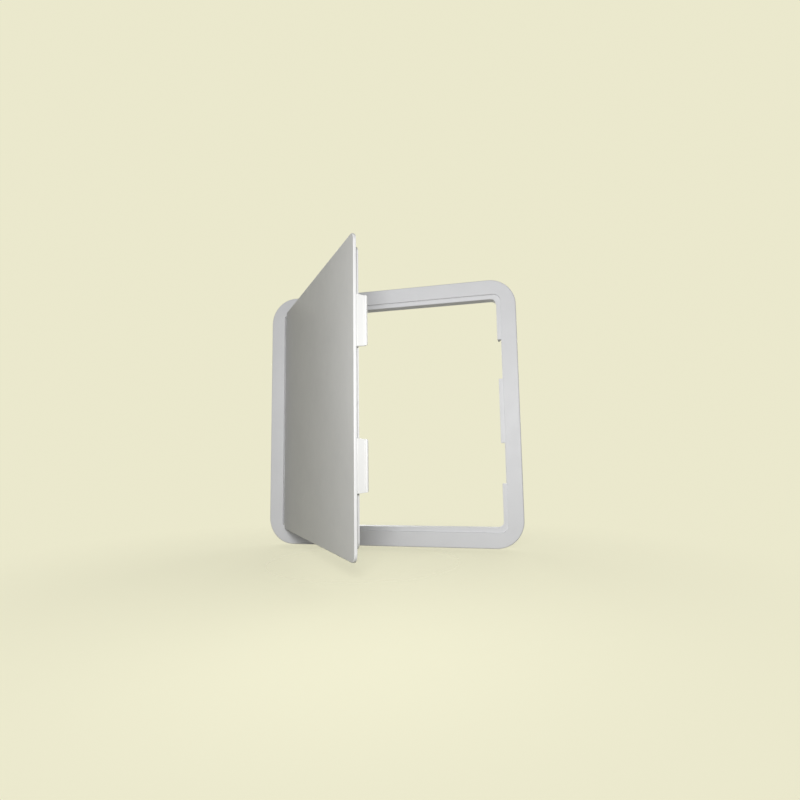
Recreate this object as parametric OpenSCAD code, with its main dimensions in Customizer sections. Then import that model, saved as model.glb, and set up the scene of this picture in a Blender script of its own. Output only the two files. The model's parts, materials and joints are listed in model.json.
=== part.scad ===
// Hinged wall access panel, moulded in white plastic and snapped shut by two flexing latches.
// The frame's flange lies on the wall and its collar reaches into the cut-out. The door sits
// flush in a recess of the frame, on a landing, and turns on two pins along its hinge edge.
// Millimetres. +X to the right as seen from the room, +Y into the wall, +Z up.
// Origin: middle of the wall cut-out, on the surface of the wall.

/* [Opening] */
// Width of the clear opening
opening_w = 304; // [240:1:420]
// Height of the clear opening
opening_h = 304; // [280:1:420]
// Corner radius of the clear opening
opening_r = 8; // [5:0.5:14]

/* [Frame] */
// Width of the raised face of the flange
flange_face_w = 20; // [16:0.5:36]
// Thickness of the flange
flange_t = 3; // [2.5:0.25:5]
// Corner radius of the flange's outline
flange_r = 36; // [20:1:50]
// Radius that rolls the flange's front edge
flange_edge_r = 1.5; // [0.5:0.25:2]
// Width of the recessed landing behind the door's edge
landing_w = 6; // [5.5:0.25:9]
// Thickness of the landing
landing_t = 3; // [2:0.25:4]
// Corner radius of the door's recess
recess_r = 10; // [6:0.5:16]
// Wall of the rim between flange and landing
rim_t = 3; // [2:0.25:4]
// Depth that the collar reaches into the wall
collar_depth = 15; // [14.5:0.5:40]
// Wall of the collar
collar_t = 2.5; // [1.5:0.25:4]
// Thickness of the gussets behind the landing
gusset_t = 1.6; // [1:0.2:3]
// Spacing of the gussets along the top and the bottom
gusset_pitch = 50; // [30:5:90]

/* [Door] */
// Thickness of the door's plate
door_t = 3; // [2.5:0.25:4]
// Gap between the door's plate and the recess
door_gap = 1; // [0.75:0.25:2]
// Gap between the shut door and its landing
seat_gap = 0.2; // [0.1:0.1:0.6]
// Radius that rolls the plate's front edge
door_edge_r = 1; // [0.5:0.25:1.5]
// Gap between the door's rear rim and the sides of the opening
rim_gap = 1.5; // [1.25:0.25:4]
// Gap between the door's rear rim and the top and bottom of the opening
rim_end_gap = 6; // [1.25:0.25:10]
// Depth of the rear rim behind the plate
door_rim_depth = 4.5; // [3.5:0.25:6]
// Wall of the rear rim
door_rim_t = 2; // [1.5:0.25:4]
// Depth of the stiffening ribs behind the plate
rib_depth = 3; // [1.5:0.25:3.5]
// Thickness of the stiffening ribs
rib_t = 1.6; // [1:0.2:3]
// Number of ribs each way
rib_count = 5; // [1:1:7]
// How far the door stands open
door_angle = 52; // [0:1:104]

/* [Hinge] */
// Radius of the door's rolled hinge edge
knuckle_r = 2.75; // [2.75:0.05:3]
// Radius of the hinge pins
pin_r = 1.5; // [1:0.1:1.7]
// Length of a hinge pin
pin_len = 24; // [16:1:40]
// Radial running clearance of the door on its pins
pin_play = 0.05; // [0.02:0.01:0.1]
// Gap between the rolled hinge edge and its gutter
gutter_gap = 0.5; // [0.4:0.1:0.8]
// Wall behind the hinge gutter
gutter_t = 2.5; // [1.5:0.25:3]
// Space for a washer at each end of the hinge edge
washer_space = 2.5; // [1.5:0.25:4]
// Axial play between a washer and the hinge edge
washer_play = 0.1; // [0.05:0.05:0.3]
// How far the pin bosses stand out past the rim
pin_boss_h = 1.7; // [1:0.1:3]

/* [Latches] */
// Distance between the middles of the two latches
latch_pitch = 138; // [110:1:170]
// Height of a latch
latch_h = 51; // [36:1:60]
// Gap above and below a latch in its notch
notch_gap = 1; // [0.75:0.25:3]
// Depth of the latch notches in the landing
notch_depth = 5; // [4.75:0.25:5]
// Thickness of a latch tongue
tongue_t = 2.5; // [1.75:0.25:2.5]
// How much a tongue narrows at each end towards its tip
tongue_taper = 1.2; // [0:0.1:2]
// Distance of the tongue in from the door's edge
tongue_inset = 1; // [0.75:0.25:1.25]
// Radius of the bead that snaps behind the strike
bead_r = 1.6; // [1.4:0.1:1.7]
// How far the middle of the bead lies into the wall
bead_y = 9.8; // [9:0.1:11]
// How far the bead stands out of the tongue
bead_proud = 1.5; // [1.2:0.1:1.6]
// Clearance between shut bead and strike
strike_gap = 0.25; // [0.1:0.05:0.5]
// Wall of the strike
strike_t = 2.5; // [1.5:0.25:3]
// Clearance round the tongue's root
root_gap = 0.1; // [0.05:0.05:0.2]
// Width of the latch base on the door
latch_base_w = 14.5; // [12:0.5:20]
// Distance between the two screws of a latch
latch_screw_pitch = 32; // [20:1:40]
// Shank radius of the latch screws
latch_screw_r = 1.5; // [1.25:0.25:1.75]
// Head radius of the latch screws
latch_head_r = 2.8; // [2.5:0.1:3]

/* [Fixing] */
// Radius of the fixing-screw holes in the collar
fix_hole_r = 2.25; // [1.5:0.25:2.5]
// Distance between the two fixing-screw holes on a side
fix_pitch = 240; // [210:1:250]
// Depth of the fixing-screw holes into the wall
fix_y = 9.5; // [9:0.5:10]

/* [Hidden] */
$fn = 96;

// Overlap that lets cuts run clean through and joined walls share volume
eps = 0.5;

// Outlines, from the opening outwards
recess_w = opening_w + 2*landing_w;
recess_h = opening_h + 2*landing_w;
rim_w = recess_w + 2*rim_t;
rim_h = recess_h + 2*rim_t;
flange_w = recess_w + 2*flange_face_w;
flange_h = recess_h + 2*flange_face_w;

// Depths, from the room inwards
front_y = -flange_t;
door_back_y = front_y + door_t;
landing_y = door_back_y + seat_gap;
landing_back_y = landing_y + landing_t;

// Door plate and its rear rim
plate_w = recess_w - 2*door_gap;
plate_h = recess_h - 2*door_gap;
plate_r = recess_r - door_gap;
door_rim_w = opening_w - 2*rim_gap;
door_rim_h = opening_h - 2*rim_end_gap;

// Hinge axis, round which the plate's hinge edge is rolled
pivot_x = -plate_w/2 + knuckle_r;
pivot_y = front_y + knuckle_r;
gutter_r = knuckle_r + gutter_gap;
gutter_back_y = pivot_y + gutter_r + gutter_t;
// A block at each hinge corner of the recess, level with the end of the opening, holds a pin
pin_block_z = opening_h/2;
pin_block_x = pivot_x + knuckle_r;
knuckle_h = 2*(pin_block_z - washer_space);
washer_inset = 0.15;
washer_r = knuckle_r - washer_inset;
pin_top_z = rim_h/2 + pin_boss_h;
pin_bottom_z = pin_top_z - pin_len;
pin_boss_wall = 2.75;
// The knuckle's bores end this much past the pins
bore_room = 1;
// The plate steps back here, so that its corners clear the pin blocks as it turns
corner_step_x = pivot_x + norm([knuckle_r, pivot_y - front_y]) + gutter_gap;

// Latches
latch_z = latch_pitch/2;
tongue_x = plate_w/2 - tongue_inset - tongue_t/2;
root_r = tongue_t/2;
root_y = door_back_y + root_r + root_gap;
bead_x = tongue_x + tongue_t/2 + bead_proud - bead_r;
notch_x = opening_w/2 + notch_depth;
notch_h = latch_h + 2*notch_gap;
strike_back_y = bead_y - sqrt(pow(bead_r, 2) - pow(notch_x - bead_x, 2)) - strike_gap;
tip_corner_r = 2;
// Room for the tongue to bend inwards past the latch base
bend_room = 0.6;
base_outer_x = tongue_x - tongue_t/2 - bend_room;
base_inner_x = base_outer_x - latch_base_w;
// The base's toe stops just short of the middle of the root
base_toe_x = tongue_x - root_r/4;
base_toe_y = root_y - root_gap;
base_top_y = door_back_y + door_rim_depth;
base_bevel = 1.2;
base_play = 0.3;
latch_screw_x = base_inner_x + latch_base_w/2 - base_bevel;
latch_foot_t = 2;
latch_boss_wall = 1.8;
latch_boss_r = latch_screw_r + latch_boss_wall;
latch_boss_y = base_top_y - latch_foot_t;
latch_screw_play = 0.2;
// The screws stop short of the plate's outer face
screw_tip_y = door_back_y - door_t/3;
latch_head_h = 1.8;
latch_head_taper = 0.5;

// Distance of a gusset from the edge of its fixing hole
fix_hole_room = 9;
gusset_offset = fix_hole_r + fix_hole_room;
// How far a gusset stays inside the rim and short of the collar's end
gusset_foot_inset = 1;
gusset_tip_inset = 2;

// Shared shapes

// Extrudes a flat outline, drawn in X and Z, from depth y0 to depth y1
module slab(y0, y1) {
    translate([0, y1, 0]) rotate([90, 0, 0]) linear_extrude(y1 - y0) children();
}

// Box between two opposite corners
module block(low, high) {
    translate(low) cube(high - low);
}

// Round bar along Z from z0 to z1
module bar(x, y, z0, z1, r) {
    translate([x, y, z0]) cylinder(r = r, h = z1 - z0);
}

// Outline of a w by h rectangle with corners of radius r
module outline(w, h, r) {
    square([w - 2*r, h], center = true);
    square([w, h - 2*r], center = true);
    for (x = [-1, 1], z = [-1, 1])
        translate([x*(w/2 - r), z*(h/2 - r)]) circle(r);
}

// Section of a slab's edge, r wide and t thick, with its front corner rolled to radius e
module edge_section(r, t, e) {
    square([r - e, t]);
    translate([0, e]) square([r, t - e]);
    translate([r - e, e]) circle(e, $fn = 48);
}

// Slab with one corner radius all round, whose front edge is rolled to radius e:
// a core, four straight edges and four quarter turns of one section
module rolled_slab(w, h, r, e, y0, y1) {
    t = y1 - y0;
    run_w = w - 2*r;
    run_h = h - 2*r;
    block([-run_w/2, y0, -run_h/2], [run_w/2, y1, run_h/2]);
    for (turn = [0 : 3]) {
        run = turn % 2 == 0 ? run_h : run_w;
        reach = turn % 2 == 0 ? run_w : run_h;
        rotate([0, 90*turn, 0]) {
            translate([reach/2, y0, -run/2]) linear_extrude(run) edge_section(r, t, e);
            translate([reach/2, y0, run/2]) mirror([0, 1, 0]) rotate([90, 0, 0])
                rotate_extrude(angle = 90) edge_section(r, t, e);
        }
    }
}

// Stands the door's pieces, drawn shut, open about the hinge axis
module on_door() {
    translate([pivot_x, pivot_y, 0]) rotate([0, 0, -door_angle])
        translate([-pivot_x, -pivot_y, 0]) children();
}

// Frame

// Flange on the wall, with its rolled outer edge
module flange() {
    rolled_slab(flange_w, flange_h, flange_r, flange_edge_r, front_y, 0);
}

// Rim that carries the landing, and the collar behind it
module rim_and_collar() {
    slab(-eps, landing_back_y) outline(rim_w, rim_h, recess_r + rim_t);
    slab(landing_y, collar_depth)
        outline(opening_w + 2*collar_t, opening_h + 2*collar_t, opening_r + collar_t);
}

// Wall that closes the gutter of the rolled hinge edge from behind
module gutter_wall() {
    intersection() {
        slab(landing_y, gutter_back_y) outline(rim_w, rim_h, recess_r + rim_t);
        block([-rim_w/2, landing_y, -rim_h/2], [-opening_w/2, gutter_back_y, rim_h/2]);
    }
}

// Boss that gives a hinge pin a longer seat, out past the rim
module pin_boss() {
    reach = pin_r + pin_boss_wall;
    block([pivot_x - reach, -eps, pin_block_z], [pivot_x + reach, landing_back_y, pin_top_z]);
}

// Recess that the door lies in, but for the block at each hinge corner that holds a pin
module recess() {
    difference() {
        slab(front_y - eps, landing_y) outline(recess_w, recess_h, recess_r);
        for (side = [0, 1])
            mirror([0, 0, side])
                block([-recess_w/2 - eps, front_y - 2*eps, pin_block_z],
                      [pin_block_x, landing_y + eps, recess_h/2 + eps]);
    }
}

// Lip behind a notch, that the latch bead snaps behind, with a cheek at each end
module strike(side) {
    middle_z = side*latch_z;
    block([notch_x, landing_y, middle_z - notch_h/2 - strike_t],
          [notch_x + strike_t, strike_back_y, middle_z + notch_h/2 + strike_t]);
    for (z = [middle_z - notch_h/2 - strike_t, middle_z + notch_h/2])
        block([opening_w/2 + eps, landing_y, z], [notch_x + eps, strike_back_y, z + strike_t]);
}

// Triangular gusset between landing and collar, on the latch side at height z
module gusset(out, z) {
    foot_x = out/2 + landing_w + rim_t - gusset_foot_inset;
    tip_y = collar_depth - gusset_tip_inset;
    translate([0, 0, z - gusset_t/2]) linear_extrude(gusset_t)
        polygon([
            [out/2 + eps, landing_y + eps],
            [foot_x, landing_y + eps],
            [foot_x, landing_back_y],
            [out/2 + collar_t, tip_y],
            [out/2 + eps, tip_y],
        ]);
}

// Gussets on all four sides: they flank each fixing hole, and stand at a pitch above and below
module gussets() {
    count = floor((opening_w/2 - 2*opening_r)/gusset_pitch);
    for (side = [0, 1], row = [-1, 0, 1], flank = [-1, 1])
        mirror([side, 0, 0]) gusset(opening_w, row*fix_pitch/2 + flank*gusset_offset);
    for (side = [0, 1], i = [-count : count])
        mirror([0, 0, side]) rotate([0, -90, 0]) gusset(opening_h, i*gusset_pitch);
}

// Way through landing and collar for a latch tongue
module latch_window(side) {
    block([opening_w/2 - eps, landing_y - eps, side*latch_z - notch_h/2],
          [notch_x, collar_depth + eps, side*latch_z + notch_h/2]);
}

// Two holes in a side of the collar, for screws driven sideways into the wall's framing
module fixing_holes(side) {
    for (z = [-1, 1])
        translate([side*(opening_w/2 - eps), fix_y, z*fix_pitch/2])
            rotate([0, side*90, 0]) cylinder(r = fix_hole_r, h = collar_t + 2*eps);
}

module face_frame() {
    color("#dcddda") difference() {
        union() {
            flange();
            rim_and_collar();
            gutter_wall();
            gussets();
            for (side = [0, 1]) mirror([0, 0, side]) pin_boss();
            for (side = [-1, 1]) strike(side);
        }
        recess();
        slab(landing_y - eps, collar_depth + eps) outline(opening_w, opening_h, opening_r);
        bar(pivot_x, pivot_y, -pin_block_z, pin_block_z, gutter_r);
        for (side = [-1, 1]) {
            latch_window(side);
            fixing_holes(side);
        }
        for (side = [0, 1])
            mirror([0, 0, side])
                bar(pivot_x, pivot_y, pin_block_z - eps, pin_top_z + eps, pin_r);
    }
}

// Hinge

// Plain pin driven in from outside the rim, with a lead-in at its inner end
module hinge_pin(side) {
    lead = pin_r/3;
    color("#b9bcbf") mirror([0, 0, side < 0 ? 1 : 0]) {
        bar(pivot_x, pivot_y, pin_bottom_z + lead, pin_top_z, pin_r);
        translate([pivot_x, pivot_y, pin_bottom_z])
            cylinder(r1 = pin_r - lead, r2 = pin_r, h = lead);
    }
}

// Washer between a pin block and an end of the rolled hinge edge
module hinge_washer(side) {
    color("#e9e9e6") mirror([0, 0, side < 0 ? 1 : 0]) difference() {
        bar(pivot_x, pivot_y, knuckle_h/2 + washer_play, pin_block_z, washer_r);
        bar(pivot_x, pivot_y, knuckle_h/2, pin_block_z + eps, pin_r + pin_play);
    }
}

// Door

// Flat plate with rolled edges, cut off square along the hinge axis, and its rolled hinge edge
module door_plate() {
    intersection() {
        rolled_slab(plate_w, plate_h, plate_r, door_edge_r, front_y, door_back_y);
        block([pivot_x, front_y - eps, -plate_h/2 - eps],
              [plate_w/2 + eps, door_back_y + eps, plate_h/2 + eps]);
    }
    bar(pivot_x, pivot_y, -knuckle_h/2, knuckle_h/2, knuckle_r);
}

// Rim and grid of ribs behind the plate, open where the latch bases sit
module door_stiffening() {
    difference() {
        union() {
            difference() {
                slab(door_back_y - eps, base_top_y)
                    outline(door_rim_w, door_rim_h, opening_r);
                slab(door_back_y - 2*eps, base_top_y + eps)
                    outline(door_rim_w - 2*door_rim_t, door_rim_h - 2*door_rim_t,
                            opening_r - door_rim_t);
            }
            for (i = [1 : rib_count]) {
                x = door_rim_w*(i/(rib_count + 1) - 1/2);
                z = door_rim_h*(i/(rib_count + 1) - 1/2);
                block([x - rib_t/2, door_back_y - eps, -door_rim_h/2 + eps],
                      [x + rib_t/2, door_back_y + rib_depth, door_rim_h/2 - eps]);
                block([-door_rim_w/2 + eps, door_back_y - eps, z - rib_t/2],
                      [door_rim_w/2 - eps, door_back_y + rib_depth, z + rib_t/2]);
            }
        }
        for (side = [-1, 1])
            block([base_inner_x - base_play, door_back_y, side*latch_z - latch_h/2 - base_play],
                  [plate_w/2, base_top_y + eps, side*latch_z + latch_h/2 + base_play]);
    }
}

// Repeats its children at the two screws of a latch
module at_latch_screws(side) {
    for (end = [-1, 1])
        translate([latch_screw_x, 0, side*latch_z + end*latch_screw_pitch/2]) children();
}

// Round bar along Y on the axis of a latch screw, from depth y0 to depth y1
module plug(y0, y1, r0, r1) {
    translate([0, y0, 0]) rotate([-90, 0, 0]) cylinder(r1 = r0, r2 = r1, h = y1 - y0);
}

// What is cut at an end of the plate's hinge edge: the step past the pin block and the pin's bore
module hinge_corner_cut() {
    block([pivot_x - knuckle_r - eps, front_y - eps, knuckle_h/2],
          [corner_step_x, door_back_y + eps, plate_h/2 + eps]);
    bar(pivot_x, pivot_y, pin_bottom_z - bore_room, knuckle_h/2 + eps, pin_r + pin_play);
}

module door_panel() {
    color("#e4e4e1") on_door() difference() {
        union() {
            door_plate();
            door_stiffening();
            for (side = [-1, 1])
                at_latch_screws(side)
                    plug(door_back_y - eps, latch_boss_y, latch_boss_r, latch_boss_r);
        }
        for (side = [0, 1]) mirror([0, 0, side]) hinge_corner_cut();
        for (side = [-1, 1])
            at_latch_screws(side)
                plug(screw_tip_y, latch_boss_y + eps, latch_screw_r, latch_screw_r);
    }
}

// Latches

// Foot screwed to the door, with the seat that the tongue's root turns in
module latch_base(side) {
    color("#f2f2ef") on_door() difference() {
        translate([0, 0, side*latch_z - latch_h/2]) linear_extrude(latch_h)
            polygon([
                [base_inner_x, door_back_y],
                [base_toe_x, door_back_y],
                [base_toe_x, base_toe_y],
                [base_outer_x, base_toe_y],
                [base_outer_x, base_top_y - 2*base_bevel],
                [base_outer_x - 2*base_bevel, base_top_y],
                [base_inner_x + base_bevel, base_top_y],
                [base_inner_x, base_top_y - base_bevel],
            ]);
        bar(tongue_x, root_y, side*latch_z - latch_h, side*latch_z + latch_h, root_r + root_gap);
        at_latch_screws(side) {
            plug(door_back_y - eps, latch_boss_y, latch_boss_r + base_play, latch_boss_r + base_play);
            plug(latch_boss_y - eps, base_top_y + eps,
                 latch_screw_r + latch_screw_play, latch_screw_r + latch_screw_play);
        }
    }
}

// Side view of a tongue in Y and Z: it narrows from its root to two rounded corners at the tip
module tongue_profile() {
    tip_y = bead_y + bead_r;
    slope = atan(tongue_taper/(tip_y - root_y));
    corner_y = tip_y - tip_corner_r;
    corner_z = latch_h/2 - (corner_y - root_y)*tan(slope) - tip_corner_r/cos(slope);
    side_y = corner_y + tip_corner_r*sin(slope);
    side_z = corner_z + tip_corner_r*cos(slope);
    translate([root_y - 2*root_r, -latch_h/2]) square([2*root_r, latch_h]);
    polygon([
        [root_y, -latch_h/2],
        [side_y, -side_z],
        [tip_y, -corner_z],
        [tip_y, corner_z],
        [side_y, side_z],
        [root_y, latch_h/2],
    ]);
    for (end = [-1, 1]) translate([corner_y, end*corner_z]) circle(tip_corner_r);
}

// Tongue: a round root, a flat leaf and a bead along its tip
module latch_tongue(side) {
    z0 = side*latch_z - latch_h/2;
    z1 = side*latch_z + latch_h/2;
    color("#f5f5f2") on_door() intersection() {
        union() {
            bar(tongue_x, root_y, z0, z1, root_r);
            block([tongue_x - tongue_t/2, root_y, z0], [tongue_x + tongue_t/2, bead_y, z1]);
            bar(tongue_x, bead_y, z0, z1, tongue_t/2);
            bar(bead_x, bead_y, z0, z1, bead_r);
        }
        translate([tongue_x - 2*tongue_t, 0, side*latch_z]) rotate([90, 0, 90])
            linear_extrude(4*tongue_t) tongue_profile();
    }
}

// The four screws that hold the latch bases to the door
module latch_screws() {
    color("#a9adb0") on_door() for (side = [-1, 1])
        at_latch_screws(side) {
            plug(screw_tip_y, base_top_y + eps, latch_screw_r, latch_screw_r);
            plug(base_top_y, base_top_y + latch_head_h, latch_head_r, latch_head_r - latch_head_taper);
        }
}

face_frame();
hinge_pin(1);  // upper_hinge_pin
hinge_pin(-1);  // lower_hinge_pin
hinge_washer(1);  // upper_hinge_washer
hinge_washer(-1);  // lower_hinge_washer
door_panel();
latch_base(1);  // upper_latch_base
latch_base(-1);  // lower_latch_base
latch_tongue(1);  // upper_latch_tongue
latch_tongue(-1);  // lower_latch_tongue
latch_screws();
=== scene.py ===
"""Looks of the hinged wall access panel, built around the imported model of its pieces."""

import json
import logging
import math
from dataclasses import dataclass
from enum import Enum

import bmesh
import bpy
from mathutils import Matrix, Vector


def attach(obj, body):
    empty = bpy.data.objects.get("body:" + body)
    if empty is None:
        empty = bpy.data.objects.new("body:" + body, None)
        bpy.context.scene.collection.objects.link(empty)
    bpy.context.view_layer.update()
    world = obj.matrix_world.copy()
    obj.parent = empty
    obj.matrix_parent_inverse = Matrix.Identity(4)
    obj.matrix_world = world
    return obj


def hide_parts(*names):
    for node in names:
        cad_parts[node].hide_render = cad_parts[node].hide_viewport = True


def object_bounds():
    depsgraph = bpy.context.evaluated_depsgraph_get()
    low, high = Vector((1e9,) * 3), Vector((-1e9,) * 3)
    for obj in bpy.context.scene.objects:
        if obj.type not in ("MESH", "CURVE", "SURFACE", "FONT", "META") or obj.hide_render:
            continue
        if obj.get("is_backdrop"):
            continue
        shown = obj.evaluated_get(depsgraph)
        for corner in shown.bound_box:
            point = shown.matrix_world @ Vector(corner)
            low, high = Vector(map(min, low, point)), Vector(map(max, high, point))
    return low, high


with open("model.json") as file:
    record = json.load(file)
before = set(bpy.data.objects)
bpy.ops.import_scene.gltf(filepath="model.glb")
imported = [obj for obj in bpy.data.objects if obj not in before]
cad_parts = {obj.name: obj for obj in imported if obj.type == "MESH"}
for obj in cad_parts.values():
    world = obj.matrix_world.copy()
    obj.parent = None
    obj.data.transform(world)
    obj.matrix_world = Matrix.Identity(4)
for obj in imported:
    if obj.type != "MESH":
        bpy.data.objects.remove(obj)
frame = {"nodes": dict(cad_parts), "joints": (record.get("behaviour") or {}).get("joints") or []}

log = logging.getLogger("access_panel")

Colour = tuple[float, float, float, float]
Socket = bpy.types.NodeSocket
Values = dict[str | int, object]

MM = 0.001

# Points of a mesh closer together than this are one point
WELD = 0.002 * MM
# Flat regions are joined where their faces turn by less than this
FLAT_TURN = math.radians(1.0)
# Edges that turn by more than this are softened, or drawn sharp
SHARP_TURN = math.radians(30.0)
# Attribute of a softened piece: 1 on the crest of an outer edge, -1 in the depth of an inner one
EDGE_MARK = "edge_mark"
# Widths of the softened edges of the mouldings, latches, washers and pins
MOULDING_EDGE = 0.3 * MM
LATCH_EDGE = 0.25 * MM
WASHER_EDGE = 0.12 * MM
PIN_EDGE = 0.15 * MM
# Percentage by which large faces steer the normals of a softened piece, where 50 is even
NORMAL_WEIGHT = 60
# Takes a piece drawn upright to where its top points into the wall
INTO_WALL = Matrix.Rotation(-math.pi / 2, 4, "X")


class End(Enum):
    """The two like ends of the panel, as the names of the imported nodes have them."""

    UPPER = "upper"
    LOWER = "lower"


# Node trees


class Nodes:
    """A node tree, with short calls that add and join its nodes."""

    def __init__(self, tree: bpy.types.NodeTree) -> None:
        """Takes over a tree.

        Args:
            tree: The tree.
        """
        self.tree = tree

    def add(self, kind: str, values: Values | None = None, **settings: object) -> bpy.types.Node:
        """Adds a node.

        Args:
            kind: The node's type.
            values: Values or output sockets for its inputs, by name or number.
            **settings: Properties of the node itself.

        Returns:
            The new node.
        """
        node = self.tree.nodes.new(kind)
        for key, value in settings.items():
            setattr(node, key, value)
        for key, value in (values or {}).items():
            self.feed(node.inputs[key], value)
        return node

    def feed(self, socket: Socket, value: object) -> None:
        """Links an output to a socket, or sets the socket's value.

        Args:
            socket: The input to fill.
            value: An output socket or a plain value.
        """
        if isinstance(value, Socket):
            self.tree.links.new(value, socket)
        else:
            socket.default_value = value

    def math(self, operation: str, first: object, second: object) -> Socket:
        """Returns the result of a sum on two numbers.

        Args:
            operation: Blender's name of the sum.
            first: First number or socket.
            second: Second number or socket.
        """
        node = self.add("ShaderNodeMath", {0: first, 1: second}, operation=operation)
        return node.outputs["Value"]


class Shading(Nodes):
    """Node tree of one material."""

    def __init__(self, name: str) -> None:
        """Starts an empty material.

        Args:
            name: The material's name.
        """
        self.material = bpy.data.materials.new(name)
        self.material.use_nodes = True
        super().__init__(self.material.node_tree)
        self.tree.nodes.clear()

    def place(self) -> Socket:
        """Returns the object coordinates, in metres."""
        return self.add("ShaderNodeTexCoord").outputs["Object"]

    def stretched(self, factor: tuple[float, float, float]) -> Socket:
        """Returns the object coordinates scaled along each axis.

        Args:
            factor: Scale along X, Y and Z.
        """
        values = {"Vector": self.place(), "Scale": factor}
        return self.add("ShaderNodeMapping", values).outputs["Vector"]

    def noise(self, size: float, detail: float, where: Socket | None = None) -> Socket:
        """Returns cloudy noise between 0 and 1.

        Args:
            size: Size of its spots, in metres.
            detail: Octaves of finer noise.
            where: Coordinates, if not the plain object coordinates.
        """
        values = {"Vector": where or self.place(), "Scale": 1.0 / size, "Detail": detail}
        return self.add("ShaderNodeTexNoise", values).outputs["Fac"]

    def ramp(self, value: Socket, low: float, high: float,
             source: tuple[float, float] = (0.3, 0.7), interpolation: str = "LINEAR") -> Socket:
        """Returns a value mapped from the source range onto low to high, and held there.

        Args:
            value: The value to map.
            low: Result at the start of the source range.
            high: Result at its end.
            source: The source range.
            interpolation: Blender's name of the curve between the two.
        """
        values = {"Value": value, "From Min": source[0], "From Max": source[1],
                  "To Min": low, "To Max": high}
        node = self.add("ShaderNodeMapRange", values, clamp=True, interpolation_type=interpolation)
        return node.outputs["Result"]

    def blend(self, factor: Socket, first: object, second: object) -> Socket:
        """Returns a mix of two colours.

        Args:
            factor: Share of the second colour.
            first: Colour at 0.
            second: Colour at 1.
        """
        node = self.add("ShaderNodeMix", data_type="RGBA")
        colours = [socket for socket in node.inputs if socket.type == "RGBA"]
        for socket, value in zip((node.inputs[0], *colours), (factor, first, second)):
            self.feed(socket, value)
        return next(socket for socket in node.outputs if socket.type == "RGBA")

    def relief(self, height: Socket, depth: float, below: Socket | None = None) -> Socket:
        """Returns a normal roughened by a height map.

        Args:
            height: Height between 0 and 1.
            depth: Real depth of the relief, in metres.
            below: Normal of a coarser relief that this one lies on.
        """
        values: Values = {"Height": height, "Distance": depth, "Strength": 1.0}
        if below is not None:
            values["Normal"] = below
        return self.add("ShaderNodeBump", values).outputs["Normal"]

    def edges(self) -> tuple[Socket, Socket]:
        """Returns how far a point is on an outer edge's crest, and in an inner edge's depth."""
        mark = self.add("ShaderNodeAttribute", attribute_name=EDGE_MARK).outputs["Fac"]
        return self.ramp(mark, 0.0, 1.0, (0.1, 0.9)), self.ramp(mark, 1.0, 0.0, (-0.9, -0.1))

    def finish(self, **inputs: object) -> bpy.types.Material:
        """Closes the tree with a Principled shader.

        Args:
            **inputs: Its inputs, with underscores in place of spaces.

        Returns:
            The finished material.
        """
        values = {key.replace("_", " "): value for key, value in inputs.items()}
        shader = self.add("ShaderNodeBsdfPrincipled", values)
        self.add("ShaderNodeOutputMaterial", {"Surface": shader.outputs["BSDF"]})
        return self.material


# Finishes


def tinted(colour: Colour, share: float) -> Colour:
    """Returns a colour brightened or darkened.

    Args:
        colour: The colour to change.
        share: Change in brightness, where 0.05 is 5% brighter.
    """
    red, green, blue, alpha = colour
    return (red * (1 + share), green * (1 + share), blue * (1 + share), alpha)


@dataclass(frozen=True)
class MouldedPlastic:
    """White plastic from a spark-eroded mould, rubbed at its edges, with painted shade in its
    inner corners.
    """

    name: str
    slot: str
    colour: Colour
    roughness: float
    grain: float
    grain_depth: float
    drift: float = 0.02
    specular: float = 0.25
    index: float = 1.49
    cloud: float = 60 * MM
    patch: float = 14 * MM
    smudge: float = 9 * MM
    smudge_range: tuple[float, float] = (0.86, 1.12)
    wave: float = 35 * MM
    wave_depth: float = 0.03 * MM
    # Colour and share of the painted shade that darkens the depth of inner edges
    corner_shade: Colour = (0.42, 0.40, 0.35, 1.0)
    corner_shade_share: float = 0.25
    rub_share: float = 0.6

    def material(self) -> bpy.types.Material:
        """Returns the material."""
        tree = Shading(self.name)
        crest, depth = tree.edges()
        clouds = tree.noise(self.cloud, 3.0)
        base = tree.blend(tree.ramp(clouds, 0.0, 1.0), tinted(self.colour, -self.drift),
                          tinted(self.colour, self.drift))
        patches = tree.ramp(tree.noise(self.patch, 4.0), 0.0, 1.0, (0.35, 0.65))
        # Painted shade: the depth of inner edges darkens towards grey-brown, in patches
        shaded_corners = tree.math("MULTIPLY", tree.math("MULTIPLY", depth, patches), self.corner_shade_share)
        base = tree.blend(shaded_corners, base, self.corner_shade)
        low, high = (self.roughness * share for share in self.smudge_range)
        smudges = tree.ramp(tree.noise(self.smudge, 5.0), low, high)
        worn = -self.rub_share * self.roughness
        rubbed = tree.math("MULTIPLY", tree.math("MULTIPLY", crest, patches), worn)
        rough = tree.math("ADD", smudges, rubbed)
        waves = tree.relief(tree.noise(self.wave, 1.0), self.wave_depth)
        grain = tree.relief(tree.noise(self.grain, 2.0), self.grain_depth, waves)
        return tree.finish(Base_Color=base, Roughness=rough, Normal=grain,
                           Specular_IOR_Level=self.specular, IOR=self.index)


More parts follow.
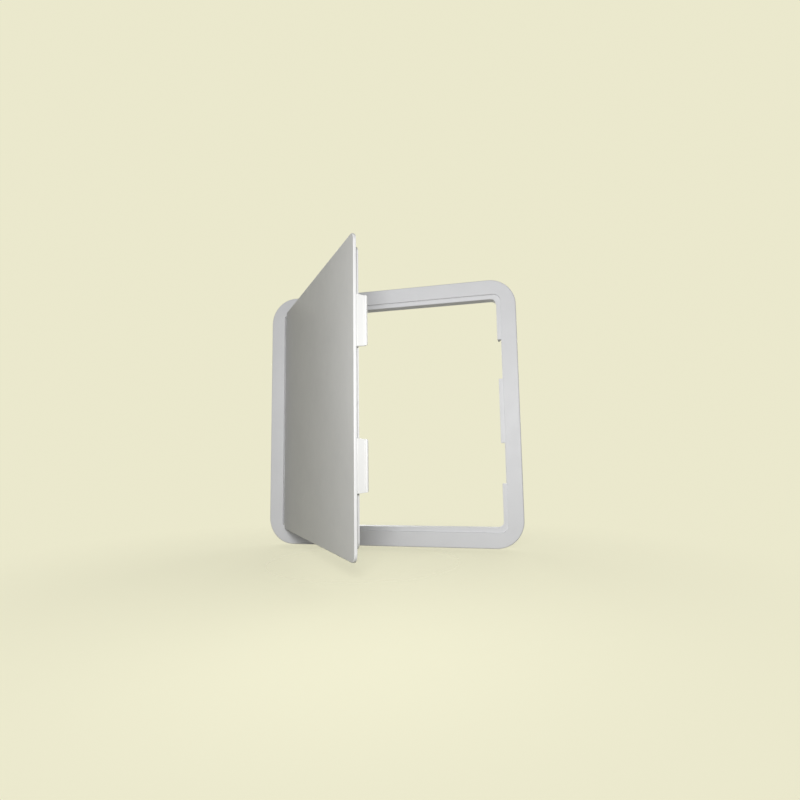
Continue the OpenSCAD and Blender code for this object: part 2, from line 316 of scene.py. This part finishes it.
@dataclass(frozen=True)
class ClearNylon:
    """Milky nylon that lets a little light in."""

    name: str
    slot: str
    colour: Colour
    roughness: float
    drift: float = 0.04
    cloud: float = 3 * MM
    smudge: float = 1.2 * MM
    smudge_range: tuple[float, float] = (0.8, 1.2)
    grain: float = 0.4 * MM
    grain_depth: float = 0.004 * MM
    glow_share: float = 0.2
    glow_reach: float = 1.5 * MM
    index: float = 1.53

    def material(self) -> bpy.types.Material:
        """Returns the material."""
        tree = Shading(self.name)
        clouds = tree.noise(self.cloud, 3.0)
        base = tree.blend(tree.ramp(clouds, 0.0, 1.0), tinted(self.colour, -self.drift),
                          self.colour)
        low, high = (self.roughness * share for share in self.smudge_range)
        rub = tree.ramp(tree.noise(self.smudge, 2.0), low, high)
        grain = tree.relief(tree.noise(self.grain, 2.0), self.grain_depth)
        return tree.finish(Base_Color=base, Roughness=rub, Normal=grain, IOR=self.index,
                           Subsurface_Weight=self.glow_share, Subsurface_Scale=self.glow_reach)


@dataclass(frozen=True)
class ZincSteel:
    """Steel under bright zinc plate, with drawing marks and faint blue and straw tones."""

    name: str
    slot: str
    colour: Colour
    straw: Colour
    roughness: float
    straw_share: float = 0.6
    tone: float = 2.5 * MM
    drawing: tuple[float, float, float] = (6000.0, 6000.0, 500.0)
    drawing_depth: float = 0.002 * MM
    rub_range: tuple[float, float] = (0.7, 1.35)

    def material(self) -> bpy.types.Material:
        """Returns the material."""
        tree = Shading(self.name)
        tones = tree.noise(self.tone, 3.0)
        base = tree.blend(tree.ramp(tones, 0.0, self.straw_share), self.colour, self.straw)
        drawn = tree.noise(1.0, 2.0, tree.stretched(self.drawing))
        low, high = (self.roughness * share for share in self.rub_range)
        rub = tree.ramp(drawn, low, high)
        marks = tree.relief(drawn, self.drawing_depth)
        return tree.finish(Base_Color=base, Roughness=rub, Normal=marks, Metallic=1.0)


FRAME_PLASTIC = MouldedPlastic("frame_plastic", "frame_plastic", (0.712, 0.715, 0.73, 1.0), 0.50,
                               0.55 * MM, 0.010 * MM)
# The door's plastic is the frame's white painted darker: painted shade for the door, which stands
# turned away from the light
DOOR_PLASTIC = MouldedPlastic("door_plastic", "door_plastic", (0.625, 0.625, 0.62, 1.0), 0.50,
                              0.55 * MM, 0.010 * MM)
# The latches' plastic is the frame's white painted darker, a painted shade that holds down the
# strong light the tabs catch
LATCH_PLASTIC = MouldedPlastic("latch_plastic", "latch_plastic", (0.60, 0.60, 0.59, 1.0), 0.36,
                               0.30 * MM, 0.004 * MM, drift=0.015, specular=0.35)
WASHER_NYLON = ClearNylon("washer_nylon", "washer_nylon", (0.80, 0.79, 0.74, 1.0), 0.35)
PIN_STEEL = ZincSteel("pin_steel", "pin_steel", (0.62, 0.63, 0.65, 1.0),
                      (0.64, 0.62, 0.56, 1.0), 0.30)

Finish = MouldedPlastic | ClearNylon | ZincSteel


# Where the door stands


@dataclass(frozen=True)
class DoorStance:
    """Hinge axis and angle at which the door stands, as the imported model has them."""

    pivot: Vector
    angle: float

    @classmethod
    def from_frame(cls) -> "DoorStance":
        """Returns the stance that the door's joint gives: its lower limit is the shut door."""
        swing = next(joint for joint in frame["joints"] if joint["child"] == "door")
        return cls(Vector(swing["pos_m"]), math.radians(swing["range_deg"][0]))

    def opening(self) -> Matrix:
        """Returns the turn that takes a piece drawn on the shut door to where the door stands."""
        return (Matrix.Translation(self.pivot) @ Matrix.Rotation(self.angle, 4, "Z")
                @ Matrix.Translation(-self.pivot))

    def shut_box(self, node: str) -> tuple[Vector, Vector]:
        """Measures a node of the door as it would lie with the door shut.

        Args:
            node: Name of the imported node.

        Returns:
            Its lowest and highest corners.
        """
        back = self.opening().inverted()
        points = [back @ vertex.co for vertex in frame["nodes"][node].data.vertices]
        low = Vector(min(point[axis] for point in points) for axis in range(3))
        high = Vector(max(point[axis] for point in points) for axis in range(3))
        return low, high


# Softened pieces


def new_object(name: str, data: bpy.types.ID) -> bpy.types.Object:
    """Puts a mesh, lamp or camera into the scene.

    Args:
        name: The object's name.
        data: What it shows: a piece's mesh is already in place.

    Returns:
        The new object.
    """
    thing = bpy.data.objects.new(name, data)
    bpy.context.scene.collection.objects.link(thing)
    return thing


def hand_over(piece: bpy.types.Object, body: str, finish: Finish, *nodes: str) -> None:
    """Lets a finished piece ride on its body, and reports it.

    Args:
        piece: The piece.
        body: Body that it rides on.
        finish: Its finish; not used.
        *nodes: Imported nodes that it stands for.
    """
    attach(piece, body)
    if nodes:
        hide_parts(*nodes)
    log.info("%s: %d faces on %s", piece.name, len(piece.data.polygons), body)


@dataclass
class SoftenedPiece:
    """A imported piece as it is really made, with every sharp edge softened."""

    node: str
    body: str
    finish: Finish
    edge: float
    rings: int = 2

    def mark_edges(self, shape: bmesh.types.BMesh, rounded: dict[str, list]) -> None:
        """Writes the edge attribute on the middle of each softened edge.

        Args:
            shape: The softened shape.
            rounded: What the softening made, as lists of verts and faces.
        """
        layer = shape.verts.layers.float[EDGE_MARK]
        strips = set(rounded["faces"])
        for vert in rounded["verts"]:
            if vert.is_valid and all(face in strips for face in vert.link_faces):
                turns = [edge.calc_face_angle_signed(0.0) for edge in vert.link_edges]
                vert[layer] = 1.0 if sum(turns) > FLAT_TURN else -1.0

    def ordered(self, shape: bmesh.types.BMesh) -> bpy.types.Mesh:
        """Writes a shape to a mesh whose faces come in the same order in every run.

        Args:
            shape: The softened shape, with its edge attribute.

        Returns:
            The mesh.
        """
        shape.verts.index_update()
        faces = []
        for face in shape.faces:
            corners = [vert.index for vert in face.verts]
            first = corners.index(min(corners))
            faces.append(corners[first:] + corners[:first])
        layer = shape.verts.layers.float[EDGE_MARK]
        mesh = bpy.data.meshes.new(self.node + "_soft")
        mesh.from_pydata([vert.co for vert in shape.verts], [], sorted(faces))
        marks = mesh.attributes.new(EDGE_MARK, "FLOAT", "POINT")
        marks.data.foreach_set("value", [vert[layer] for vert in shape.verts])
        return mesh

    def mesh(self) -> bpy.types.Mesh:
        """Returns the softened mesh."""
        shape = bmesh.new()
        shape.from_mesh(frame["nodes"][self.node].data)
        # A layer that is made later would break the softening's lists of verts
        shape.verts.layers.float.new(EDGE_MARK)
        bmesh.ops.remove_doubles(shape, verts=shape.verts, dist=WELD)
        bmesh.ops.dissolve_limit(shape, angle_limit=FLAT_TURN, verts=shape.verts,
                                 edges=shape.edges)
        sharp = [edge for edge in shape.edges if edge.calc_face_angle(0.0) > SHARP_TURN]
        rounded = bmesh.ops.bevel(shape, geom=sharp, offset=self.edge, offset_type="OFFSET",
                                  segments=self.rings, profile=0.5, affect="EDGES",
                                  clamp_overlap=False)
        self.mark_edges(shape, rounded)
        mesh = self.ordered(shape)
        shape.clear()
        shape.from_mesh(mesh)
        bmesh.ops.triangulate(shape, faces=[face for face in shape.faces if len(face.verts) > 4])
        for face in shape.faces:
            face.smooth = True
        shape.to_mesh(mesh)
        shape.free()
        return mesh

    def build(self, material: bpy.types.Material) -> bpy.types.Object:
        """Makes the piece.

        Args:
            material: Its finish, as a material.

        Returns:
            The piece.
        """
        piece = new_object(self.node + "_finished", self.mesh())
        piece.data.materials.append(material)
        steady = piece.modifiers.new("steady_normals", "WEIGHTED_NORMAL")
        steady.mode = "FACE_AREA"
        steady.weight = NORMAL_WEIGHT
        hand_over(piece, self.body, self.finish, self.node)
        return piece


# Repeated pieces


class Pattern(Nodes):
    """Geometry Nodes tree whose sizes are named inputs."""

    def __init__(self, name: str) -> None:
        """Starts an empty tree.

        Args:
            name: The tree's name.
        """
        super().__init__(bpy.data.node_groups.new(name, "GeometryNodeTree"))
        self.name = name
        self.tree.interface.new_socket(name="Geometry", in_out="OUTPUT",
                                       socket_type="NodeSocketGeometry")
        self.source = self.add("NodeGroupInput")
        self.sizes: dict[str, float | int] = {}

    def size(self, name: str, value: float | int) -> Socket:
        """Adds a named input.

        Args:
            name: Its name.
            value: Its value.

        Returns:
            The socket that carries it.
        """
        kind = "NodeSocketInt" if isinstance(value, int) else "NodeSocketFloat"
        item = self.tree.interface.new_socket(name=name, in_out="INPUT", socket_type=kind)
        self.sizes[item.identifier] = value
        return self.source.outputs[name]

    def join(self, *parts: Socket) -> Socket:
        """Returns several geometries as one.

        Args:
            *parts: The geometries.
        """
        node = self.add("GeometryNodeJoinGeometry")
        for part in parts:
            self.feed(node.inputs["Geometry"], part)
        return node.outputs["Geometry"]

    def vector(self, x: object = 0.0, y: object = 0.0, z: object = 0.0) -> Socket:
        """Returns a vector.

        Args:
            x: X, a number or a socket.
            y: Y, a number or a socket.
            z: Z, a number or a socket.
        """
        return self.add("ShaderNodeCombineXYZ", {"X": x, "Y": y, "Z": z}).outputs["Vector"]

    def moved(self, part: Socket, **places: object) -> Socket:
        """Returns a geometry moved, turned or scaled.

        Args:
            part: The geometry.
            **places: Translation, Rotation or Scale.
        """
        node = self.add("GeometryNodeTransform", {"Geometry": part, **places})
        return node.outputs["Geometry"]

    def repeated(self, part: Socket, points: Socket) -> Socket:
        """Returns a geometry set down at each of some points.

        Args:
            part: The geometry.
            points: The points.
        """
        node = self.add("GeometryNodeInstanceOnPoints", {"Points": points, "Instance": part})
        return node.outputs["Instances"]

    def harvest(self, part: Socket, material: bpy.types.Material,
                place: Matrix) -> bpy.types.Object:
        """Ends the tree, runs it once and keeps its result as a plain mesh.

        Args:
            part: What the tree makes.
            material: Material of every face.
            place: Where the result goes.

        Returns:
            The new piece, its faces pointing outwards and shaded smooth by angle.
        """
        real = self.add("GeometryNodeRealizeInstances", {"Geometry": part}).outputs["Geometry"]
        dressed = self.add("GeometryNodeSetMaterial", {"Geometry": real, "Material": material})
        self.add("NodeGroupOutput", {0: dressed.outputs["Geometry"]})
        grower = new_object(self.name + "_grower", bpy.data.meshes.new(self.name + "_seed"))
        modifier = grower.modifiers.new(self.name, "NODES")
        modifier.node_group = self.tree
        for identifier, value in self.sizes.items():
            modifier[identifier] = value
        bpy.context.view_layer.update()
        evaluated = grower.evaluated_get(bpy.context.evaluated_depsgraph_get())
        mesh = bpy.data.meshes.new_from_object(evaluated)
        bpy.data.objects.remove(grower)
        mesh.transform(place)
        face_outwards(mesh)
        return new_object(self.name, mesh)


def face_outwards(mesh: bpy.types.Mesh) -> None:
    """Points all faces of a mesh outwards and shades it smooth by angle.

    Args:
        mesh: The mesh.
    """
    shape = bmesh.new()
    shape.from_mesh(mesh)
    bmesh.ops.remove_doubles(shape, verts=shape.verts, dist=WELD)
    bmesh.ops.recalc_face_normals(shape, faces=shape.faces)
    for face in shape.faces:
        face.smooth = True
    for edge in shape.edges:
        edge.smooth = len(edge.link_faces) != 2 or edge.calc_face_angle(0.0) < SHARP_TURN
    shape.to_mesh(mesh)
    shape.free()


@dataclass
class LatchScrews:
    """The four pan-head screws of the latches, with a cross recess and a cut thread."""

    stance: DoorStance
    finish: ZincSteel
    latch_pitch: float
    screw_pitch: float
    shank_radius: float = 1.5 * MM
    thread_pitch: float = 1.1 * MM
    thread_depth: float = 0.18 * MM
    thread_steps: int = 20
    thread_sides: int = 3
    head_height: float = 1.8 * MM
    recess_width: float = 0.75 * MM
    recess_length: float = 3.1 * MM
    recess_depth: float = 1.1 * MM
    rim_chamfer: float = 0.15 * MM
    rim_share: float = 0.55
    tip_share: float = 0.35
    dome_steps: int = 8
    sides: int = 40
    # The outline is swept round a ring so small that its inner points weld on the axis
    axis_ring: float = 0.0001 * MM
    axis_weld: float = 0.001 * MM

    @classmethod
    def from_frame(cls, stance: DoorStance, finish: ZincSteel) -> "LatchScrews":
        """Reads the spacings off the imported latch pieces.

        Args:
            stance: How the door stands.
            finish: Finish of the screws.

        Returns:
            The screws.
        """
        low, high = stance.shut_box("latch_screws")
        base_low, base_high = stance.shut_box("upper_latch_base")
        latch_pitch = base_low.z + base_high.z
        head = high.x - low.x
        return cls(stance, finish, latch_pitch, (high.z - low.z) - head - latch_pitch)

    def build(self, material: bpy.types.Material) -> bpy.types.Object:
        """Makes the screws.

        Args:
            material: Their finish, as a material.

        Returns:
            The piece.
        """
        low, high = self.stance.shut_box("latch_screws")
        head_radius = (high.x - low.x) / 2
        head_foot = high.y - self.head_height
        length = head_foot - low.y
        pattern = Pattern("latch_screw_set")
        parts = {0: self.blank(pattern, head_radius, length), 1: self.cross(pattern)}
        cut = pattern.add("GeometryNodeMeshBoolean", parts, operation="DIFFERENCE",
                          solver="MANIFOLD").outputs["Mesh"]
        screw = pattern.join(cut, self.thread(pattern, length))
        pair = pattern.repeated(screw, self.row(pattern, "Screw Pitch", self.screw_pitch))
        every = pattern.repeated(pair, self.row(pattern, "Latch Pitch", self.latch_pitch))
        seat = Matrix.Translation(Vector(((low.x + high.x) / 2, head_foot, 0.0)))
        piece = pattern.harvest(every, material, self.stance.opening() @ seat @ INTO_WALL)
        hand_over(piece, "door", self.finish, "latch_screws")
        return piece

    def outline(self, head_radius: float, length: float) -> list[tuple[float, float]]:
        """Returns the screw's half section as radius and height, from its tip to its head's top.

        Args:
            head_radius: Radius of the head.
            length: Length below the head.
        """
        shank = self.shank_radius - self.thread_depth
        rim = self.head_height * self.rim_share
        points = [(0.0, -length), (shank * self.tip_share, -length), (shank, -length + shank),
                  (shank, 0.0), (head_radius - self.rim_chamfer, 0.0),
                  (head_radius, self.rim_chamfer)]
        for step in range(self.dome_steps):
            turn = math.pi / 2 * step / self.dome_steps
            height = rim + (self.head_height - rim) * math.sin(turn)
            points.append((head_radius * math.cos(turn), height))
        return points + [(0.0, self.head_height)]

    def blank(self, pattern: Pattern, head_radius: float, length: float) -> Socket:
        """Returns the screw without its recess and thread.

        Args:
            pattern: The tree to build in.
            head_radius: Radius of the head.
            length: Length below the head.
        """
        points = self.outline(head_radius, length)
        lines = []
        for start, end in zip(points[:-1], points[1:]):
            ends = {"Start": (*start, 0.0), "End": (*end, 0.0)}
            lines.append(pattern.add("GeometryNodeCurvePrimitiveLine", ends).outputs["Curve"])
        ring = pattern.add("GeometryNodeCurvePrimitiveCircle", {
            "Resolution": pattern.size("Sides", self.sides), "Radius": self.axis_ring})
        swept = pattern.add("GeometryNodeCurveToMesh", {
            "Curve": ring.outputs["Curve"], "Profile Curve": pattern.join(*lines)})
        turned = pattern.add("GeometryNodeMergeByDistance", {
            "Geometry": swept.outputs["Mesh"], "Distance": self.axis_weld})
        # The sweep comes out head down
        return pattern.moved(turned.outputs["Geometry"], Rotation=(math.pi, 0.0, 0.0))

    def cross(self, pattern: Pattern) -> Socket:
        """Returns the cross of two bars that cuts the recess.

        Args:
            pattern: The tree to build in.
        """
        width = pattern.size("Recess Width", self.recess_width)
        length = pattern.size("Recess Length", self.recess_length)
        depth = pattern.size("Recess Depth", self.recess_depth)
        height = pattern.size("Head Height", self.head_height)
        tall = pattern.math("MULTIPLY", depth, 2.0)
        bars = pattern.add("GeometryNodeMeshBoolean", operation="UNION", solver="MANIFOLD")
        for size in (pattern.vector(length, width, tall), pattern.vector(width, length, tall)):
            bar = pattern.add("GeometryNodeMeshCube", {"Size": size}).outputs["Mesh"]
            pattern.feed(bars.inputs[1], bar)
        return pattern.moved(bars.outputs["Mesh"], Translation=pattern.vector(z=height))

    def thread(self, pattern: Pattern, length: float) -> Socket:
        """Returns the ridge of the thread.

        Args:
            pattern: The tree to build in.
            length: Length below the head.
        """
        reach = length - 2 * self.shank_radius
        turns = pattern.size("Thread Turns", reach / self.thread_pitch)
        radius = pattern.size("Thread Radius", self.shank_radius - self.thread_depth)
        height = pattern.size("Thread Reach", reach)
        spiral = pattern.add("GeometryNodeCurveSpiral", {
            "Resolution": self.thread_steps, "Rotations": turns, "Start Radius": radius,
            "End Radius": radius, "Height": height})
        ridge = pattern.add("GeometryNodeCurvePrimitiveCircle", {
            "Resolution": self.thread_sides, "Radius": self.thread_depth})
        swept = pattern.add("GeometryNodeCurveToMesh", {
            "Curve": spiral.outputs["Curve"], "Profile Curve": ridge.outputs["Curve"],
            "Fill Caps": True})
        foot = -(length - self.shank_radius)
        return pattern.moved(swept.outputs["Mesh"], Translation=(0.0, 0.0, foot))

    def row(self, pattern: Pattern, name: str, spacing: float) -> Socket:
        """Returns two points on the Y axis, which becomes the height, evenly about the origin.

        Args:
            pattern: The tree to build in.
            name: Name of the input for their spacing.
            spacing: Their spacing.
        """
        apart = pattern.size(name, spacing)
        half = pattern.math("MULTIPLY", apart, -0.5)
        return pattern.add("GeometryNodeMeshLine", {
            "Count": len(End), "Start Location": pattern.vector(y=half),
            "Offset": pattern.vector(y=apart)}).outputs["Mesh"]


@dataclass
class EjectorMarks:
    """Low round marks that the mould's ejector pins leave on the inside of the door."""

    stance: DoorStance
    finish: MouldedPlastic
    across: int = 4
    spacing: float = 50.17 * MM
    radius: float = 3.5 * MM
    top_share: float = 0.94
    height: float = 0.12 * MM
    sunk: float = 0.3 * MM
    sides: int = 48

    def build(self, material: bpy.types.Material) -> bpy.types.Object:
        """Makes the marks.

        Args:
            material: Finish of the door, as a material.

        Returns:
            The piece.
        """
        pattern = Pattern("door_ejector_marks")
        count = pattern.size("Marks Across", self.across)
        spacing = pattern.size("Spacing", self.spacing)
        radius = pattern.size("Mark Radius", self.radius)
        tall = pattern.size("Mark Height", self.height + self.sunk)
        span = pattern.math("MULTIPLY", spacing, pattern.math("SUBTRACT", count, 1))
        grid = pattern.add("GeometryNodeMeshGrid", {
            "Size X": span, "Size Y": span, "Vertices X": count, "Vertices Y": count})
        top = pattern.math("MULTIPLY", radius, self.top_share)
        disc = pattern.add("GeometryNodeMeshCone", {
            "Vertices": self.sides, "Radius Top": top, "Radius Bottom": radius, "Depth": tall})
        marks = pattern.repeated(disc.outputs["Mesh"], grid.outputs["Mesh"])
        seat = Matrix.Translation(Vector((0.0, self.plate_back() - self.sunk, 0.0)))
        piece = pattern.harvest(marks, material, self.stance.opening() @ seat @ INTO_WALL)
        hand_over(piece, "door", self.finish)
        return piece

    def plate_back(self) -> float:
        """Returns the depth of the plate's back, where the latch bases stand."""
        return self.stance.shut_box("upper_latch_base")[0].y


# Studio


@dataclass(frozen=True)
class Lamp:
    """A soft square lamp."""

    name: str
    place: tuple[float, float, float]
    size: float
    power: float
    target: tuple[float, float, float] = (0.02, 0.0, 0.0)

    def hang(self) -> None:
        """Hangs the lamp, out of the camera's sight."""
        light = bpy.data.lights.new(self.name, "AREA")
        light.size = self.size
        light.energy = self.power
        place = Vector(self.place)
        lamp = new_object(self.name, light)
        lamp.location = place
        lamp.visible_camera = False
        lamp.rotation_euler = (Vector(self.target) - place).to_track_quat("-Z", "Y").to_euler()


@dataclass(frozen=True)
class Viewpoint:
    """Where the photograph was taken from, as found by matching the outlines to it."""

    place: tuple[float, float, float] = (0.20032, -0.71865, -0.06719)
    yaw: float = math.radians(14.367)
    pitch: float = math.radians(6.690)
    roll: float = math.radians(-0.819)
    focal_px: float = 539.19
    picture_px: float = 800.0
    nearest: float = 10 * MM

    def build(self) -> None:
        """Sets up the camera."""
        data = bpy.data.cameras.new("camera")
        data.lens = self.focal_px * data.sensor_width / self.picture_px
        data.clip_start = self.nearest
        ahead = Vector((-math.sin(self.yaw) * math.cos(self.pitch),
                        math.cos(self.yaw) * math.cos(self.pitch), math.sin(self.pitch)))
        level = Vector((math.cos(self.yaw), math.sin(self.yaw), 0.0))
        above = level.cross(ahead)
        right = math.cos(self.roll) * level + math.sin(self.roll) * above
        up = -math.sin(self.roll) * level + math.cos(self.roll) * above
        turn = Matrix((right, up, -ahead)).transposed().to_4x4()
        camera = new_object("camera", data)
        camera.matrix_world = Matrix.Translation(Vector(self.place)) @ turn
        bpy.context.scene.camera = camera


@dataclass
class Studio:
    """Pale floor, even paper colour behind the panel, soft lamps and the camera."""

    paper: Colour = (0.83, 0.81, 0.61, 1.0)
    speckle: float = 20 * MM
    floor_gap: float = 0.2 * MM
    floor_reach: float = 0.50
    floor_sides: int = 128
    opacity: float = 0.35
    fill: float = 0.09
    lamps: tuple[Lamp, ...] = (
        Lamp("key", (0.15, -0.63, 0.035), 0.12, 2.25),
        Lamp("room", (0.1, -1.95, 0.7), 1.6, 10.5),
        Lamp("back", (0.7, 1.9, 0.7), 1.4, 24.0),
        Lamp("side", (-1.0, 1.7, 0.7), 1.2, 20.0),
    )

    def floor_paper(self) -> bpy.types.Material:
        """Returns the floor's paper, which fades out away from the middle."""
        tree = Shading("floor_paper")
        speckle = tree.noise(self.speckle, 4.0)
        base = tree.blend(tree.ramp(speckle, 0.0, 1.0), tinted(self.paper, -0.01), self.paper)
        paper = tree.add("ShaderNodeBsdfPrincipled", {
            "Base Color": base, "Roughness": 0.9, "Specular IOR Level": 0.1})
        clear = tree.add("ShaderNodeBsdfTransparent")
        away = tree.add("ShaderNodeVectorMath", {0: tree.place()}, operation="LENGTH")
        fade = tree.ramp(away.outputs["Value"], 1.0 - self.opacity, 1.0, (0.0, self.floor_reach),
                         "SMOOTHSTEP")
        sheet = tree.add("ShaderNodeMixShader", {
            0: fade, 1: paper.outputs["BSDF"], 2: clear.outputs["BSDF"]})
        tree.add("ShaderNodeOutputMaterial", {"Surface": sheet.outputs["Shader"]})
        return tree.material

    def floor(self) -> None:
        """Lays the floor under the panel, as a round sheet."""
        low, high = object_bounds()
        mesh = bpy.data.meshes.new("floor")
        shape = bmesh.new()
        bmesh.ops.create_circle(shape, cap_ends=True, segments=self.floor_sides,
                                radius=self.floor_reach)
        shape.to_mesh(mesh)
        shape.free()
        mesh.materials.append(self.floor_paper())
        sheet_of_paper = new_object("floor", mesh)
        sheet_of_paper.location = ((low[0] + high[0]) / 2, (low[1] + high[1]) / 2,
                                   low[2] - self.floor_gap)
        sheet_of_paper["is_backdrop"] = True

    def world(self) -> None:
        """Shows plain paper colour behind the panel, and lights it evenly from all round."""
        world = bpy.data.worlds.new("studio")
        world.use_nodes = True
        sky = Nodes(world.node_tree)
        sky.tree.nodes.clear()
        path = sky.add("ShaderNodeLightPath").outputs
        mirrored = sky.math("MAXIMUM", path["Is Glossy Ray"], path["Is Transmission Ray"])
        seen = sky.math("MAXIMUM", path["Is Camera Ray"], mirrored)
        paper = sky.add("ShaderNodeBackground", {"Color": self.paper})
        fill = sky.add("ShaderNodeBackground", {
            "Color": (1.0, 1.0, 1.0, 1.0), "Strength": self.fill})
        mix = sky.add("ShaderNodeMixShader", {
            0: seen, 1: fill.outputs["Background"], 2: paper.outputs["Background"]})
        sky.add("ShaderNodeOutputWorld", {"Surface": mix.outputs["Shader"]})
        bpy.context.scene.world = world

    def build(self) -> None:
        """Sets up the whole studio."""
        self.floor()
        self.world()
        for lamp in self.lamps:
            lamp.hang()
        Viewpoint().build()
        bpy.context.scene.view_settings.view_transform = "Standard"


def main() -> None:
    """Builds the panel's looks in order, from the frame to the studio."""
    logging.basicConfig(level=logging.INFO, format="%(message)s")
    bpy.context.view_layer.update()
    finishes = (FRAME_PLASTIC, DOOR_PLASTIC, LATCH_PLASTIC, WASHER_NYLON, PIN_STEEL)
    materials = {finish.name: finish.material() for finish in finishes}
    stance = DoorStance.from_frame()
    pieces = [
        SoftenedPiece("face_frame", "frame", FRAME_PLASTIC, MOULDING_EDGE),
        SoftenedPiece("door_panel", "door", DOOR_PLASTIC, MOULDING_EDGE),
    ]
    for end in End:
        prefix = end.value
        pieces += [
            SoftenedPiece(prefix + "_latch_base", "door", LATCH_PLASTIC, LATCH_EDGE),
            SoftenedPiece(prefix + "_latch_tongue", prefix + "_latch", LATCH_PLASTIC, LATCH_EDGE),
            SoftenedPiece(prefix + "_hinge_washer", "frame", WASHER_NYLON, WASHER_EDGE),
            SoftenedPiece(prefix + "_hinge_pin", "frame", PIN_STEEL, PIN_EDGE),
        ]
    for piece in pieces:
        piece.build(materials[piece.finish.name])
    LatchScrews.from_frame(stance, PIN_STEEL).build(materials[PIN_STEEL.name])
    EjectorMarks(stance, DOOR_PLASTIC).build(materials[DOOR_PLASTIC.name])
    Studio().build()


if __name__ == "__main__":
    main()
